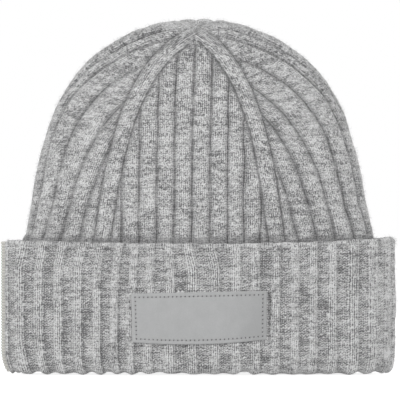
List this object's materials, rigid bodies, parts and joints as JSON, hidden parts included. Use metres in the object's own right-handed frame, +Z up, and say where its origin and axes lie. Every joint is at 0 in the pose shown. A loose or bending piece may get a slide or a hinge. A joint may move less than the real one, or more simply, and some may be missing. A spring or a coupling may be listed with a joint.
{
  "type": "knit beanie",
  "caption": "Ribbed knit beanie with a turned-up cuff, a blank sewn patch on its front, a gathered crown and a care label that turns on the side seam.",
  "frame": {"origin": "middle of the oval rim, in the plane that the hat stands on", "axes": "+X to the right of a person looking at the front, +Y from the patch towards the back, +Z up from the rim to the crown; the patch faces -Y"},
  "size_m": [0.2299, 0.0939, 0.2073],
  "materials": {
    "crown_knit": "soft heather grey rib knit, outer face",
    "cuff_knit": "soft heather grey rib knit, reverse face",
    "edge_knit": "bound-off edge of the same grey yarn",
    "seam_yarn": "pale overlocked seam yarn",
    "patch": "smooth matte grey coated patch",
    "thread": "grey sewing thread",
    "care_tape": "white woven tape, blank"
  },
  "bodies": {
    "hat": {"crown_front": "crown_knit", "crown_right": "crown_knit", "crown_back": "crown_knit", "crown_left": "crown_knit", "crown_gather": "seam_yarn", "head_band": "crown_knit", "rim_fold": "cuff_knit", "cuff": "cuff_knit", "cuff_edge": "edge_knit", "side_seam": "seam_yarn", "cuff_seam": "seam_yarn", "label_patch": "patch", "patch_thread": "thread", "patch_bobbin_thread": "thread"},
    "care_label": {"care_label": "care_tape"}
  },
  "joints": [
    {"name": "care_label_hinge", "type": "hinge", "parent": "hat", "child": "care_label", "pos_m": [-0.10095, 0, 0.028], "axis": [0.1221, 0, 0.9925], "range_deg": [-45, 45]}
  ]
}
